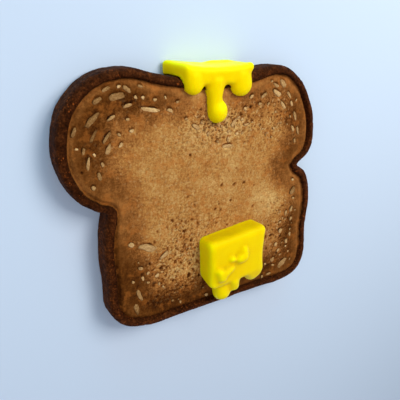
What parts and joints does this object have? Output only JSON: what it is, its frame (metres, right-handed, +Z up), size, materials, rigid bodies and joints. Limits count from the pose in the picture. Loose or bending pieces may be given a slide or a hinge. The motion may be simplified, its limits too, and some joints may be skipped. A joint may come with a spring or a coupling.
{
  "type": "buttered toast",
  "caption": "Slice of browned seeded bread lying on its back, with a softened pat of butter on its face and a melting strip of butter over its top edge.",
  "frame": {"origin": "centre of the bounding box, on the surface that the slice lies on", "axes": "+X across the slice, its longest side; +Y towards the two lobes at its top; +Z up, out of the buttered face"},
  "size_m": [0.1306, 0.1154, 0.0222],
  "materials": {
    "toasted_bread": "dry toasted bread, dark brown crust and mottled golden-brown crumb",
    "butter": "soft, smooth and slightly glossy butter"
  },
  "bodies": {
    "root": {"toast_slice": "toasted_bread", "butter_pat": "butter", "butter_on_edge": "butter"}
  },
  "joints": []
}
